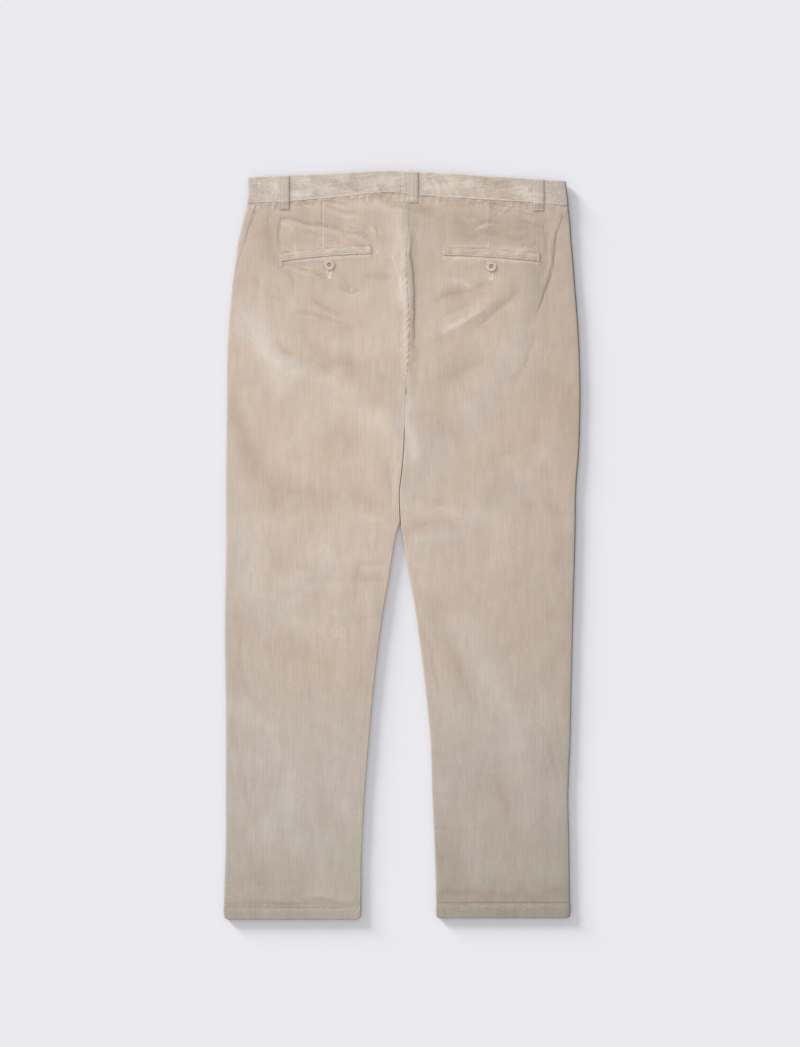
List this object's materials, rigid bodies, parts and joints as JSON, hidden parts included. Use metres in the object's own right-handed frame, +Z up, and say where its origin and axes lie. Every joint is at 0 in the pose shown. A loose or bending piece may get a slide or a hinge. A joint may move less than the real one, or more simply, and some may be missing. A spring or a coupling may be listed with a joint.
{
  "type": "corduroy trousers",
  "caption": "Pair of corduroy trousers laid flat, face down, with back welt pockets, belt loops and turned-up hems.",
  "frame": {"origin": "on the surface that carries the trousers, under the middle of their outline", "axes": "+Y from the hems to the waist, +Z up from the surface, through the front and then the back; the wearer's left is at -X"},
  "size_m": [0.5028, 1.0539, 0.012],
  "materials": {
    "corduroy": "sand-coloured corduroy with fine lengthwise ribs and a soft nap",
    "button": "satin, the colour of the cloth"
  },
  "bodies": {
    "root": {"back_left": "corduroy", "back_right": "corduroy", "front_left": "corduroy", "front_right": "corduroy", "waistband_left": "corduroy", "waistband_right": "corduroy", "belt_loop_back_left": "corduroy", "belt_loop_back_centre": "corduroy", "belt_loop_back_right": "corduroy", "belt_loop_front_left": "corduroy", "belt_loop_front_right": "corduroy", "pocket_welt_left": "corduroy", "pocket_welt_right": "corduroy", "pocket_button_left": "button", "pocket_button_right": "button", "waist_button": "button"}
  },
  "joints": []
}
